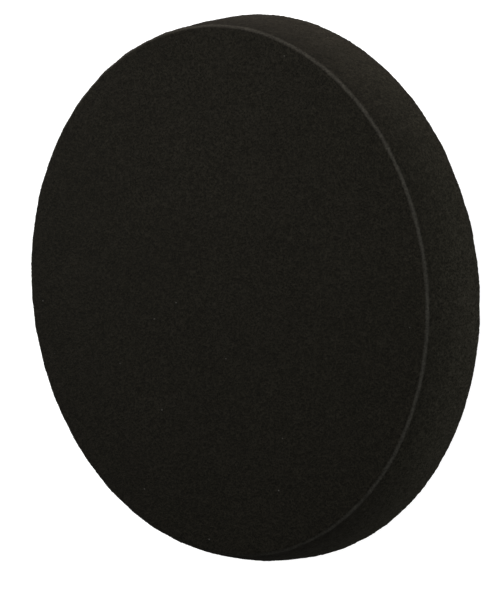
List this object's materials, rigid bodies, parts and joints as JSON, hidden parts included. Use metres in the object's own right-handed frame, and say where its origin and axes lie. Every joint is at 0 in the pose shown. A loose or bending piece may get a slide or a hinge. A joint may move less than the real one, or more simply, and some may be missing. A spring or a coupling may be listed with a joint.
{
  "type": "polishing pad",
  "caption": "Flat round foam polishing pad with a rounded rim, a slightly flared side and a loop fabric back for a hook-faced backing plate.",
  "frame": {"origin": "centre of the back face, on the surface that the loops lie on", "axes": "+Z out of the working face, along the pad's axis; the pad is round, so X and Y are any two directions across it"},
  "size_m": [0.16, 0.16, 0.0216],
  "materials": {
    "foam": "matte",
    "adhesive": "satin",
    "cloth": "matte",
    "loops": "satin"
  },
  "bodies": {
    "root": {"foam_disc": "foam", "adhesive_film": "adhesive", "backing_cloth": "cloth", "loop_pile": "loops"}
  },
  "joints": []
}
